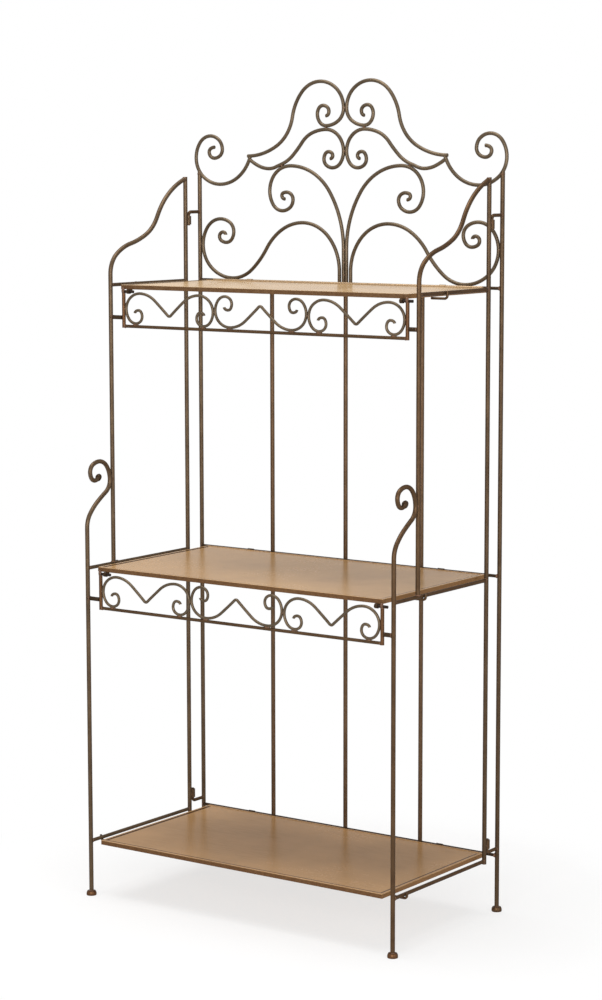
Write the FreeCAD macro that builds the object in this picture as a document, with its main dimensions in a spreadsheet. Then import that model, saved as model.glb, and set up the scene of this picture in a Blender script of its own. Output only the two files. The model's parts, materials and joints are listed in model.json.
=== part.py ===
"""A folding three-shelf bakers rack of bent round steel rod, with a scrolled crest and scrolled valances.

The rack stands on the floor, with its origin on the floor under its middle: +Z is up, the front faces
-Y and +X is to the right. The back frame carries everything: a side frame turns on two hinge hooks at
each end, three sheet trays hang by straps on its crossbars and rest on hooks of the side frames, and a
scrolled valance swings under the front edge of each of the upper two trays.
"""
import FreeCAD
import Part
import math
import os
import re
from collections import namedtuple

Key = namedtuple("Key", "across up heading")
Key.__doc__ = "A point of a bent rod in its own plane, with the heading of the rod there in degrees."

# Driving sizes in millimetres, by alias
SIZE_ROWS = (
    # Frame, measured between the centre lines of its rods
    ("frame_width", 750.0),
    ("frame_depth", 383.0),
    ("hinge_gap", 50.0),
    ("leg_lead", 83.0),
    ("bar_lead", 5.0),
    ("bottom_level", 115.0),
    ("middle_level", 687.0),
    ("top_level", 1262.0),
    # Rear posts, above the top rail and below the bottom rail
    ("post_height", 218.0),
    ("post_tail", 6.0),
    # Diameters of the rods
    ("post_rod", 9.0),
    ("rail_rod", 7.5),
    ("bar_rod", 6.5),
    ("crest_rod", 7.5),
    ("hinge_rod", 7.0),
    ("valance_rod", 7.5),
    ("wire_rod", 5.8),
    ("pin_rod", 6.0),
    ("hook_rod", 5.0),
    ("stub_rod", 8.5),
    # Button feet
    ("foot_diameter", 21.0),
    ("foot_height", 9.0),
    ("foot_belly", 3.0),
    # Crest, above the top crossbar
    ("crest_height", 408.5),
    ("stem_spacing", 10.2),
    ("stem_straight", 22.0),
    ("tall_stem_straight", 68.0),
    # Head of each front leg, above the middle rail
    ("leg_straight", 83.0),
    ("leg_scroll_height", 133.0),
    # Hinges of the side frames
    ("upper_hinge_drop", 102.5),
    ("lower_hinge_rise", 31.0),
    ("eye_length", 18.0),
    ("eye_wall", 2.2),
    ("hinge_bend", 8.0),
    ("hinge_tip", 2.0),
    # Trays
    ("tray_side_gap", 26.0),
    ("tray_front_gap", 2.0),
    ("tray_sheet", 1.2),
    ("tray_apron", 9.0),
    ("hem_width", 6.0),
    ("hem_rise", 0.8),
    ("strap_sheet", 1.0),
    ("strap_width", 14.0),
    ("strap_inset", 135.0),
    ("fold_clearance", 0.8),
    # Hooks on the side rails that carry the trays
    ("bottom_hook_setback", 40.0),
    ("middle_hook_setback", 101.6),
    ("top_hook_setback", 89.8),
    ("hook_overlap", 4.0),
    ("hook_drop", 1.0),
    ("top_hook_drop", 4.55),
    # Valances
    ("valance_side_gap", 30.0),
    ("valance_height", 70.5),
    ("valance_shift", 4.5),
    ("pin_drop", 4.5),
    ("pin_length", 29.0),
    ("left_pin_tail", 3.5),
    ("right_pin_tail", 12.0),
    ("lug_wall", 1.6),
    ("lug_width", 7.0),
    ("lug_inset", 13.0),
    ("lug_neck", 5.0),
    ("lug_root", 4.5),
    ("wire_drop", 3.3),
    ("wire_bend", 5.5),
    ("stub_drop", 53.0),
    # Clearances
    ("running_clearance", 0.06),
    ("body_clearance", 0.3),
)
SIZE_NAMES = [row[0] for row in SIZE_ROWS]
Sizes = namedtuple("Sizes", SIZE_NAMES)

# Shares of the crest's half width and height, with headings, for its right half, from the crown's
# shoulder inwards. The points where scrolls are welded together are worked out in crest_keys.
SHOULDER_SHARES = (
    (0.893, 0.676, 0),
    (0.931, 0.651, -90),
    (0.894, 0.620, 180),
    (0.838, 0.664, 90),
    (0.922, 0.734, 0),
    (1.024, 0.622, -90),
    (0.855, 0.486, 180),
)
JUNCTION_SHARE = (0.642, 0.630, 108)
CROWN_SHARES = (
    (0.659, 0.630, 180),
    (0.352, 0.826, 100),
    (0.165, 1.0, 180),
)
CROWN_TOUCH_SHARE = 0.866
CROWN_VOLUTE_SHARES = (
    (0.184, 0.838, 90),
    (0.146, 0.880, 180),
    (0.107, 0.850, -90),
    (0.126, 0.829, 0),
)
INNER_FOOT_SHARES = (
    (0.643, 0.610, 215),
    (0.512, 0.566, 180),
)
INNER_RISE_SHARE = (0.287, 0.697, 128)
INNER_TOUCH_SHARE = 0.652
INNER_VOLUTE_SHARES = (
    (0.083, 0.570, 0),
    (0.140, 0.613, 90),
    (0.109, 0.650, 180),
    (0.082, 0.630, -90),
    (0.097, 0.616, 0),
)
CROWN_ON_INNER_SHARE = (0.126, 0.770, 180)
INNER_ON_TALL_SHARE = (0.423, 0.580, 160)
TALL_TOP_SHARE = (0.365, 0.580, 0)
TALL_VOLUTE_SHARES = (
    (0.508, 0.453, -90),
    (0.421, 0.353, 180),
    (0.349, 0.410, 90),
    (0.392, 0.447, 0),
    (0.425, 0.430, -90),
    (0.405, 0.413, 180),
)
LOW_ARCH_SHARES = (
    (0.283, 0.294, 0),
    (0.531, 0.160, -58),
)
LOW_SEAT_SHARE = 0.771
LOW_SIDE_SHARE = 0.175
LOW_VOLUTE_SHARES = (
    (0.852, 0.308, 180),
    (0.760, 0.243, -90),
    (0.813, 0.187, 0),
    (0.861, 0.218, 90),
    (0.836, 0.240, 180),
    (0.818, 0.226, -90),
)

# Shares of the depth from the upper front rod to the rear post and of the height above the top rail
SWEEP_SHARES = (
    (0.0, 0.10, 90),
    (0.263, 0.378, 12),
    (0.619, 0.628, 62),
    (1.0, 0.982, 18),
)

# Shares of the lead from the front leg to the upper front rod and of the leg scroll's height
LEG_RISE_SHARE = (0.40, 0.376, 36)
LEG_TOUCH_SHARE = 0.692
LEG_VOLUTE_SHARES = (
    (0.477, 1.0, 180),
    (0.138, 0.850, -90),
    (0.315, 0.713, 0),
    (0.48, 0.79, 80),
)

# Shares of a valance wire's half width and height, from the bend in its middle out to one end
WIRE_DIP_SHARE = 0.28
WIRE_DIP_HEADING = 42
WIRE_SHARES = (
    (0.68, 1.0, 0),
    (1.0, 0.47, -90),
    (0.78, 0.0, 180),
    (0.63, 0.24, 90),
    (0.715, 0.44, 0),
    (0.80, 0.35, -75),
)

# Where the inner bars of the back frame stand, as shares of half the frame's width
INNER_BAR_SHARES = (-0.5, 0.0, 0.5)

SIDES = {"left": -1, "right": 1}
LEFT_TO_RIGHT = FreeCAD.Vector(1, 0, 0)
FRONT_TO_BACK = FreeCAD.Vector(0, 1, 0)
UP = FreeCAD.Vector(0, 0, 1)
NEGLIGIBLE = 1e-6

doc = FreeCAD.newDocument("bakers_rack")
sheet = doc.addObject("Spreadsheet::Sheet", "Sizes")
nodes = []


def fill_sheet():
    """Writes every driving size into the sheet and returns the values that the sheet then holds."""
    for row, (alias, value) in enumerate(SIZE_ROWS, start=1):
        sheet.set(f"A{row}", alias)
        sheet.set(f"B{row}", str(value))
        sheet.setAlias(f"B{row}", alias)
    doc.recompute()
    return Sizes(*[float(sheet.get(alias)) for alias in SIZE_NAMES])


size = fill_sheet()

# Places that several pieces share
half_width = size.frame_width / 2
back_y = size.frame_depth / 2
leg_y = -back_y
post_y = back_y - size.hinge_gap
upper_y = leg_y + size.leg_lead
bar_y = back_y - size.bar_lead
eye_outer = size.hinge_rod / 2 + size.running_clearance + size.eye_wall
hinge_y = post_y + size.post_rod / 2 + eye_outer
strap_outer = size.bar_rod / 2 + size.running_clearance + size.strap_sheet
valance_width = size.frame_width - 2 * size.valance_side_gap
VALANCE_ENDS = {
    "left": size.valance_shift - valance_width / 2,
    "right": size.valance_shift + valance_width / 2,
}
crest_radius = size.crest_rod / 2
LEVELS = {"bottom": size.bottom_level, "middle": size.middle_level, "top": size.top_level}
FRONTS = {"bottom": leg_y, "middle": leg_y, "top": upper_y}
DEPTHS = {"bottom": "frame_depth", "middle": "frame_depth", "top": "frame_depth - leg_lead"}
HOOK_DROPS = {"bottom": size.hook_drop, "middle": size.hook_drop, "top": size.top_hook_drop}
HOOK_SETBACKS = {
    "bottom": size.bottom_hook_setback,
    "middle": size.middle_hook_setback,
    "top": size.top_hook_setback,
}
PIN_TAILS = {"left": size.left_pin_tail, "right": size.right_pin_tail}


def hook_z(level):
    """Height of the centre of the hook arms that carry a tray, under the side rails."""
    return LEVELS[level] - (size.rail_rod + size.hook_rod) / 2 - HOOK_DROPS[level]


def apron_bottom(level):
    """Height of the lower edge of a tray's apron, which rests on the hooks."""
    return hook_z(level) + size.hook_rod / 2 + size.body_clearance


def tray_top(level):
    """Height of a tray's hem."""
    return apron_bottom(level) + size.tray_apron


def bar_z(level):
    """Height of a shelf's crossbar, so that the tray folds up in front of the crest or the inner bars."""
    behind = size.bar_lead - crest_radius if level == "top" else size.bar_rod / 2
    return tray_top(level) + size.fold_clearance - behind


def pin_z(level):
    """Height of a valance's hinge pins."""
    return apron_bottom(level) - size.pin_drop


def valance_rail_z(level):
    """Height of the centre of a valance's bottom rail."""
    return pin_z(level) - size.valance_height


def bind(item, **values):
    """Sets properties of an object: text is an expression in the sheet's aliases, a number is plain."""
    for prop, value in values.items():
        if isinstance(value, str):
            named = re.sub(r"[a-z_]+", lambda m: f"Sizes.{m[0]}" if m[0] in SIZE_NAMES else m[0], value)
            item.setExpression(prop, named)
        else:
            setattr(item, prop, value)


def place(item, base, axis=UP):
    """Moves an object to a base point and turns its own Z axis to the given axis."""
    item.Placement = FreeCAD.Placement(base, FreeCAD.Rotation(UP, axis))
    return item


def keep(item, label):
    """Names an object as one sub-part of the rack."""
    item.Label = label
    nodes.append(item)
    return item


def rod(name, diameter, length, base, axis):
    """Straight round rod from a base point along an axis."""
    cylinder = doc.addObject("Part::Cylinder", name)
    bind(cylinder, Radius=f"({diameter}) / 2", Height=length)
    return place(cylinder, base, axis)


def cut(name, base, *tools):
    """Base with every tool taken out of it."""
    tool = tools[0]
    if len(tools) > 1:
        tool = doc.addObject("Part::MultiFuse", f"{name}_tools")
        tool.Shapes = list(tools)
    result = doc.addObject("Part::Cut", f"{name}_cut")
    result.Base = base
    result.Tool = tool
    return result


def group(name, members):
    """Several alike solids held as one sub-part."""
    compound = doc.addObject("Part::Compound", f"{name}_group")
    compound.Links = members
    return compound


def unit(degrees):
    """Direction of a heading in a rod's own plane."""
    return FreeCAD.Vector(math.cos(math.radians(degrees)), math.sin(math.radians(degrees)), 0)


def arc_between(start, tangent, end):
    """Arc in a rod's own plane that leaves start along tangent and reaches end, as a list of points."""
    chord = end - start
    turn = math.atan2(tangent.cross(chord).z, tangent.dot(chord))
    if abs(math.degrees(turn)) < NEGLIGIBLE:
        return [start, end]
    bulge = FreeCAD.Vector(chord.y, -chord.x, 0) * (math.tan(turn / 2) / 2)
    return [start, start + chord / 2 + bulge, end]


def biarc(first, last):
    """Two arcs that join two keys and share a tangent where they meet."""
    start = FreeCAD.Vector(first.across, first.up, 0)
    end = FreeCAD.Vector(last.across, last.up, 0)
    leaving = unit(first.heading)
    arriving = unit(last.heading)
    span = end - start
    along = span.dot(leaving + arriving)
    blend = 2 * (1 - leaving.dot(arriving))
    if math.isclose(blend, 0, abs_tol=NEGLIGIBLE):
        reach = span.dot(span) / (2 * along)
    else:
        reach = (math.sqrt(along ** 2 + blend * span.dot(span)) - along) / blend
    middle = (start + end + (leaving - arriving) * reach) / 2
    if abs(leaving.cross(span).z) + abs(arriving.cross(span).z) < NEGLIGIBLE:
        return [[start, end]]
    back = arc_between(end, -arriving, middle)
    return [arc_between(start, leaving, middle), back[::-1]]


def bent_rod(name, keys, to_space, diameter):
    """Round rod swept along the tangent arcs through its keys; to_space places a key in the rack."""
    edges = []
    for first, last in zip(keys, keys[1:]):
        for points in biarc(first, last):
            spots = [to_space(point.x, point.y) for point in points]
            curve = Part.LineSegment(*spots) if len(spots) == 2 else Part.Arc(*spots)
            edges.append(curve.toShape())
    path = doc.addObject("Part::Feature", f"{name}_path")
    path.Shape = Part.Wire(edges)
    section = doc.addObject("Part::Circle", f"{name}_section")
    bind(section, Radius=f"{diameter} / 2")
    heading = unit(keys[0].heading)
    start = to_space(keys[0].across, keys[0].up)
    axis = to_space(keys[0].across + heading.x, keys[0].up + heading.y) - start
    place(section, start, axis)
    sweep = doc.addObject("Part::Sweep", f"{name}_sweep")
    sweep.Sections = [section]
    sweep.Spine = (path, [f"Edge{index + 1}" for index in range(len(edges))])
    sweep.Solid = True
    return sweep


def across_plane(y, side=1):
    """Places a rod that is bent in the rack's width and height."""
    return lambda across, up: FreeCAD.Vector(side * across, y, up)


def depth_plane(x):
    """Places a rod that is bent in the rack's depth and height."""
    return lambda across, up: FreeCAD.Vector(x, across, up)


def post_cutter(name, x, y, level):
    """Stand-in for the stretch of a post that a rail is coped against."""
    base = FreeCAD.Vector(x, y, level - size.post_rod)
    return rod(name, "post_rod", "2 * post_rod", base, UP)


# Feet

def foot(name, x, y):
    """Button foot: a zone of a ball with a flat sole and a flat seat for the rod above."""
    ball = doc.addObject("Part::Sphere", name)
    bind(
        ball,
        Radius="foot_diameter / 2",
        Angle1="-asin(2 * foot_belly / foot_diameter)",
        Angle2="asin(2 * (foot_height - foot_belly) / foot_diameter)",
    )
    return place(ball, FreeCAD.Vector(x, y, size.foot_belly))


# Crest

def crest_keys():
    """Keys of the five rods of the crest's right half, by name, each from its start to its volute."""
    bar = bar_z("top")
    base = bar + size.bar_rod / 2

    def at(share):
        return Key(half_width * share[0], base + size.crest_height * share[1], share[2])

    def beside(share, offset, turned=0):
        weld = at(share)
        normal = unit(weld.heading - 90)
        return Key(weld.across + normal.x * offset, weld.up + normal.y * offset, weld.heading + turned)

    def centre(share):
        return Key(crest_radius, base + size.crest_height * share, -90)

    crown = [at(share) for share in CROWN_SHARES]
    crown += [centre(CROWN_TOUCH_SHARE), beside(CROWN_ON_INNER_SHARE, crest_radius, 180)]
    crown += [at(share) for share in CROWN_VOLUTE_SHARES]
    inner = [at(share) for share in INNER_FOOT_SHARES]
    inner += [beside(INNER_ON_TALL_SHARE, crest_radius), at(INNER_RISE_SHARE)]
    inner += [beside(CROWN_ON_INNER_SHARE, -crest_radius), centre(INNER_TOUCH_SHARE)]
    inner += [at(share) for share in INNER_VOLUTE_SHARES]
    tall = [Key(crest_radius, bar, 90)]
    tall += [Key(crest_radius, base + size.tall_stem_straight, 90), at(TALL_TOP_SHARE)]
    tall += [beside(INNER_ON_TALL_SHARE, -crest_radius, 180)]
    tall += [at(share) for share in TALL_VOLUTE_SHARES]
    stem = crest_radius + size.stem_spacing
    seat = bar + math.sqrt((size.bar_rod / 2 + crest_radius) ** 2 - size.bar_lead ** 2)
    side = half_width - size.post_rod / 2 - crest_radius
    low = [Key(stem, bar, 90), Key(stem, base + size.stem_straight, 90)]
    low += [at(share) for share in LOW_ARCH_SHARES]
    low += [Key(half_width * LOW_SEAT_SHARE, seat, 0)]
    low += [Key(side, base + size.crest_height * LOW_SIDE_SHARE, 90)]
    low += [at(share) for share in LOW_VOLUTE_SHARES]
    shoulder = [at(share) for share in SHOULDER_SHARES] + [at(JUNCTION_SHARE)]
    return {"shoulder": shoulder, "crown": crown, "inner": inner, "tall": tall, "low": low}


def upright_top():
    """Height where the shoulder scroll crosses the centre line of a back upright."""
    wide = crest_keys()["shoulder"][5]
    foot_of_curve = crest_keys()["shoulder"][6]
    rise = wide.up - foot_of_curve.up
    run = wide.across - foot_of_curve.across
    inset = (half_width - foot_of_curve.across) / run
    return wide.up - rise * math.sqrt(max(0, 1 - inset ** 2))


def hinge_level(end_name):
    """Height of the middle of a hinge eye, below the uprights' tops or above the bottom crossbar."""
    if end_name == "upper":
        return upright_top() - size.upper_hinge_drop
    return bar_z("bottom") + size.lower_hinge_rise


def make_crest(side_name):
    """Five scroll rods of one half of the crest; returns the shoulder, which the upright meets."""
    side = SIDES[side_name]
    plane = across_plane(back_y, side)
    rods = {}
    for rod_name, keys in crest_keys().items():
        rods[rod_name] = bent_rod(f"{side_name}_{rod_name}", keys, plane, "crest_rod")
    start = FreeCAD.Vector(side * half_width, bar_y, bar_z("top"))
    bar = rod(f"{side_name}_stem_cutter", "bar_rod", "frame_width", start, LEFT_TO_RIGHT * -side)
    shoulder = cut(f"{side_name}_shoulder", rods["shoulder"], rods["crown"])
    keep(shoulder, f"{side_name}_shoulder_scroll")
    keep(rods["crown"], f"{side_name}_crown_scroll")
    keep(cut(f"{side_name}_inner", rods["inner"], rods["shoulder"]), f"{side_name}_inner_scroll")
    keep(cut(f"{side_name}_tall", rods["tall"], bar), f"{side_name}_tall_stem_scroll")
    keep(cut(f"{side_name}_low", rods["low"], bar), f"{side_name}_low_stem_scroll")
    return rods["shoulder"]


# Back frame

def make_back_upright(side_name, shoulder):
    """Outer upright of the back frame, coped under the shoulder scroll."""
    base = FreeCAD.Vector(SIDES[side_name] * half_width, back_y, size.foot_height)
    upright = rod(f"{side_name}_upright", "post_rod", upright_top() - size.foot_height, base, UP)
    keep(cut(f"{side_name}_upright", upright, shoulder), f"{side_name}_back_upright")


def make_crossbar(level):
    """Crossbar set forward between the back uprights and coped to them, which a tray is hinged on."""
    base = FreeCAD.Vector(size.post_rod / 4 - half_width, bar_y, bar_z(level))
    bar = rod(f"{level}_bar", "bar_rod", "frame_width - post_rod / 2", base, LEFT_TO_RIGHT)
    ends = [post_cutter(f"{level}_bar_{name}", side * half_width, back_y, bar_z(level))
            for name, side in SIDES.items()]
    keep(cut(f"{level}_bar", bar, *ends), f"{level}_crossbar")


def make_inner_bars():
    """Three upright bars welded behind the crossbars, up to the ends of the crest's stems."""
    y = bar_y + (size.bar_rod + size.post_rod) / 2
    length = bar_z("top") - bar_z("bottom") + size.bar_rod / 2
    bars = []
    for index, share in enumerate(INNER_BAR_SHARES):
        base = FreeCAD.Vector(half_width * share, y, bar_z("bottom") - size.bar_rod / 2)
        bars.append(rod(f"inner_bar_{index}", "post_rod", length, base, UP))
    keep(group("inner_bars", bars), "inner_back_bars")


def hinge_hook(side_name, end_name):
    """Bent rod from a back upright into a hinge eye: the upper one turns down, the lower one up."""
    way = {"upper": -1, "lower": 1}[end_name]
    level = hinge_level(end_name)
    mouth = level - way * (size.eye_length / 2 + size.body_clearance)
    tip = level + way * (size.eye_length / 2 + size.hinge_tip)
    keys = [
        Key(back_y, mouth - way * size.hinge_bend, 180),
        Key(hinge_y + size.hinge_bend, mouth - way * size.hinge_bend, 180),
        Key(hinge_y, mouth, way * 90),
        Key(hinge_y, tip, way * 90),
    ]
    x = SIDES[side_name] * half_width
    name = f"{side_name}_{end_name}_hook"
    hook = bent_rod(name, keys, depth_plane(x), "hinge_rod")
    return cut(name, hook, post_cutter(f"{name}_post", x, back_y, mouth - way * size.hinge_bend))


def make_back_frame():
    """Uprights, bars, crest, hinge hooks and feet of the fixed frame."""
    for side_name in SIDES:
        make_back_upright(side_name, make_crest(side_name))
    for level in LEVELS:
        make_crossbar(level)
    make_inner_bars()
    for end_name in ("upper", "lower"):
        hooks = [hinge_hook(side_name, end_name) for side_name in SIDES]
        keep(group(f"{end_name}_hooks", hooks), f"{end_name}_hinge_hooks")
    feet = [foot(f"{name}_back_foot", side * half_width, back_y) for name, side in SIDES.items()]
    keep(group("back_feet", feet), "back_feet")


# Side frames

def make_rear_post(side_name, x):
    """Rear post of a side frame, cut flat at both ends."""
    base = FreeCAD.Vector(x, post_y, size.bottom_level - size.post_tail)
    post = rod(f"{side_name}_post", "post_rod", "top_level + post_height - bottom_level + post_tail",
               base, UP)
    keep(post, f"{side_name}_rear_post")


def make_front_leg(side_name, x):
    """Front leg: straight up from its foot, then back to the upper front rod and round in a scroll."""
    def at(share):
        return Key(leg_y + size.leg_lead * share[0], neck + size.leg_scroll_height * share[1], share[2])

    neck = size.middle_level + size.leg_straight
    touch = neck + size.leg_scroll_height * LEG_TOUCH_SHARE
    keys = [Key(leg_y, size.foot_height, 90), Key(leg_y, neck, 90), at(LEG_RISE_SHARE)]
    keys += [Key(upper_y - size.post_rod, touch, 90)]
    keys += [at(share) for share in LEG_VOLUTE_SHARES]
    leg = bent_rod(f"{side_name}_leg", keys, depth_plane(x), "post_rod")
    keep(leg, f"{side_name}_front_leg")


def make_upper_rod(side_name, x):
    """Rod from the middle rail up past the top rail and back in a long sweep to the rear post."""
    depth = post_y - upper_y
    keys = [Key(upper_y, size.middle_level, 90)]
    for share in SWEEP_SHARES:
        up = size.top_level + size.post_height * share[1]
        keys.append(Key(upper_y + depth * share[0], up, share[2]))
    upper = bent_rod(f"{side_name}_upper", keys, depth_plane(x), "post_rod")
    rail = rod(f"{side_name}_upper_rail", "rail_rod", "frame_depth - hinge_gap",
               FreeCAD.Vector(x, leg_y, size.middle_level), FRONT_TO_BACK)
    post = rod(f"{side_name}_upper_post", "post_rod + 2 * running_clearance",
               "top_level + post_height + post_rod",
               FreeCAD.Vector(x, post_y, 0), UP)
    keep(cut(f"{side_name}_upper", upper, rail, post), f"{side_name}_upper_front_rod")


def make_rail(side_name, x, level):
    """Side rail from the front rod of its level to the rear post."""
    base = FreeCAD.Vector(x, FRONTS[level], LEVELS[level])
    length = f"{DEPTHS[level]} - hinge_gap"
    rail = rod(f"{side_name}_{level}_side_rod", "rail_rod", length, base, FRONT_TO_BACK)
    front = post_cutter(f"{side_name}_{level}_front", x, FRONTS[level], LEVELS[level])
    rear = post_cutter(f"{side_name}_{level}_rear", x, post_y, LEVELS[level])
    keep(cut(f"{side_name}_{level}_rail", rail, front, rear), f"{side_name}_{level}_rail")


def make_hinge_eyes(side_name, x):
    """Two short tubes welded behind the rear post, which turn on the hinge hooks."""
    eyes = []
    for end_name in ("upper", "lower"):
        base = FreeCAD.Vector(x, hinge_y, hinge_level(end_name) - size.eye_length / 2)
        name = f"{side_name}_{end_name}_eye"
        tube = rod(name, "hinge_rod + 2 * running_clearance + 2 * eye_wall", "eye_length", base, UP)
        bore = rod(f"{name}_bore", "hinge_rod + 2 * running_clearance", "eye_length", base, UP)
        eyes.append(cut(name, tube, bore))
    keep(group(f"{side_name}_eyes", eyes), f"{side_name}_hinge_eyes")


def shelf_hook(side_name, level):
    """Hook bent round the outside of a side rail, with an arm that reaches under the tray's apron."""
    bend = (size.rail_rod + size.hook_rod) / 2
    arm = hook_z(level)
    tip = half_width - size.tray_side_gap - size.hook_overlap
    keys = [
        Key(half_width + bend, LEVELS[level] + size.rail_rod / 2, -90),
        Key(half_width + bend, arm + bend, -90),
        Key(half_width, arm, 180),
        Key(tip, arm, 180),
    ]
    plane = across_plane(FRONTS[level] + HOOK_SETBACKS[level], SIDES[side_name])
    return bent_rod(f"{side_name}_{level}_shelf_hook", keys, plane, "hook_rod")


def valance_stub(side_name, level):
    """Short thick stub on a front rod, which the valance's upright bears on."""
    side = SIDES[side_name]
    name = f"{side_name}_{level}_stub"
    base = FreeCAD.Vector(side * half_width, FRONTS[level], pin_z(level) - size.stub_drop)
    shift = {"left": "+ valance_shift", "right": "- valance_shift"}[side_name]
    length = f"valance_side_gap - valance_rod / 2 {shift} - body_clearance"
    stub = rod(name, "stub_rod", length, base, LEFT_TO_RIGHT * -side)
    return cut(name, stub, post_cutter(f"{name}_post", base.x, base.y, base.z))


def make_side_frame(side_name):
    """Posts, rails, hinge eyes, tray hooks, valance stubs and foot of one side frame."""
    x = SIDES[side_name] * half_width
    make_rear_post(side_name, x)
    make_front_leg(side_name, x)
    make_upper_rod(side_name, x)
    for level in LEVELS:
        make_rail(side_name, x, level)
    make_hinge_eyes(side_name, x)
    hooks = [shelf_hook(side_name, level) for level in LEVELS]
    keep(group(f"{side_name}_shelf_hooks", hooks), f"{side_name}_shelf_hooks")
    stubs = [valance_stub(side_name, level) for level in ("middle", "top")]
    keep(group(f"{side_name}_stubs", stubs), f"{side_name}_valance_stubs")
    keep(foot(f"{side_name}_foot", x, leg_y), f"{side_name}_front_foot")


# Trays

def box(name, length, width, height, corner):
    """Block placed by its lowest corner."""
    block = doc.addObject("Part::Box", name)
    bind(block, Length=length, Width=width, Height=height)
    return place(block, corner)


def make_tray(level):
    """Sheet tray: a flat floor inside a raised hem, with an apron turned down on all four sides."""
    wide = "frame_width - 2 * tray_side_gap"
    deep = f"{DEPTHS[level]} - tray_front_gap - bar_lead - bar_rod / 2 - running_clearance - strap_sheet"
    x = -half_width + size.tray_side_gap
    y = FRONTS[level] + size.tray_front_gap
    z = apron_bottom(level)
    block = box(f"{level}_tray_block", wide, deep, "tray_apron", FreeCAD.Vector(x, y, z))
    under = box(
        f"{level}_tray_under",
        f"{wide} - 2 * tray_sheet",
        f"{deep} - 2 * tray_sheet",
        "tray_apron - tray_sheet - hem_rise",
        FreeCAD.Vector(x + size.tray_sheet, y + size.tray_sheet, z),
    )
    floor = box(
        f"{level}_tray_floor",
        f"{wide} - 2 * hem_width",
        f"{deep} - 2 * hem_width",
        "hem_rise",
        FreeCAD.Vector(x + size.hem_width, y + size.hem_width, tray_top(level) - size.hem_rise),
    )
    keep(cut(f"{level}_tray", block, under, floor), f"{level}_shelf_tray")


def strap(level, side_name):
    """Sheet strap wrapped round the crossbar, with a tongue welded to the tray's back apron."""
    middle = SIDES[side_name] * (half_width - size.strap_inset)
    left = middle - size.strap_width / 2
    centre = FreeCAD.Vector(left, bar_y, bar_z(level))
    name = f"{level}_{side_name}_strap"
    bore = "bar_rod + 2 * running_clearance"
    loop = rod(f"{name}_loop", f"{bore} + 2 * strap_sheet", "strap_width", centre, LEFT_TO_RIGHT)
    corner = FreeCAD.Vector(left, bar_y - strap_outer, apron_bottom(level))
    drop = bar_z(level) - apron_bottom(level)
    tongue = box(f"{name}_tongue", "strap_width", "strap_sheet", drop, corner)
    whole = doc.addObject("Part::Fuse", f"{name}_whole")
    whole.Base = loop
    whole.Tool = tongue
    return cut(name, whole, rod(f"{name}_bore", bore, "strap_width", centre, LEFT_TO_RIGHT))


def valance_lug(level, side_name):
    """Lug welded inside the tray's front apron, with the eye that a valance pin turns in."""
    middle = VALANCE_ENDS[side_name] - SIDES[side_name] * size.lug_inset
    left = middle - size.lug_width / 2
    name = f"{level}_{side_name}_lug"
    centre = FreeCAD.Vector(left, FRONTS[level], pin_z(level))
    bore = "pin_rod + 2 * running_clearance"
    ring = rod(f"{name}_ring", f"{bore} + 2 * lug_wall", "lug_width", centre, LEFT_TO_RIGHT)
    root_y = FRONTS[level] + size.tray_front_gap + size.tray_sheet
    neck = box(f"{name}_neck", "lug_width", "lug_neck", "pin_drop + lug_root",
               FreeCAD.Vector(left, root_y, pin_z(level)))
    whole = doc.addObject("Part::Fuse", f"{name}_whole")
    whole.Base = ring
    whole.Tool = neck
    return cut(name, whole, rod(f"{name}_bore", bore, "lug_width", centre, LEFT_TO_RIGHT))


def make_shelf(level):
    """One tray with its hinge straps and, on the upper two trays, the lugs of a valance."""
    make_tray(level)
    straps = [strap(level, side_name) for side_name in SIDES]
    keep(group(f"{level}_straps", straps), f"{level}_shelf_straps")
    if level != "bottom":
        lugs = [valance_lug(level, side_name) for side_name in SIDES]
        keep(group(f"{level}_lugs", lugs), f"{level}_valance_lugs")


# Valances

def wire_keys(half, low, high):
    """Keys of half a valance wire, from the bend in its middle to its volute."""
    height = high - low
    dip = low + height * WIRE_DIP_SHARE
    bend = unit(WIRE_DIP_HEADING)
    keys = [Key(0, dip, 0)]
    keys += [Key(size.wire_bend * bend.y, dip + size.wire_bend * (1 - bend.x), WIRE_DIP_HEADING)]
    keys += [Key(half * share[0], low + height * share[1], share[2]) for share in WIRE_SHARES]
    return keys


def turned_back(keys):
    """The same keys walked the other way round and mirrored to the other side."""
    return [Key(-key.across, key.up, -key.heading) for key in reversed(keys)]


def make_wires(level):
    """Three scroll wires side by side, the middle one upside down, welded to the rail and uprights."""
    outer = (valance_width - size.valance_rod) / 3
    half = (outer - size.wire_rod) / 2
    low = valance_rail_z(level) + size.bar_rod / 2 + size.wire_rod / 2
    high = pin_z(level) - size.wire_drop
    keys = wire_keys(half, low, high)
    whole = turned_back(keys)[:-1] + keys
    for place_name, step in (("left", -1), ("centre", 0), ("right", 1)):
        def to_space(across, up, centre=size.valance_shift + step * outer, flip=step == 0):
            return FreeCAD.Vector(centre + across, FRONTS[level], low + high - up if flip else up)
        wire = bent_rod(f"{level}_{place_name}_wire", whole, to_space, "wire_rod")
        keep(wire, f"{level}_valance_{place_name}_scroll")


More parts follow.
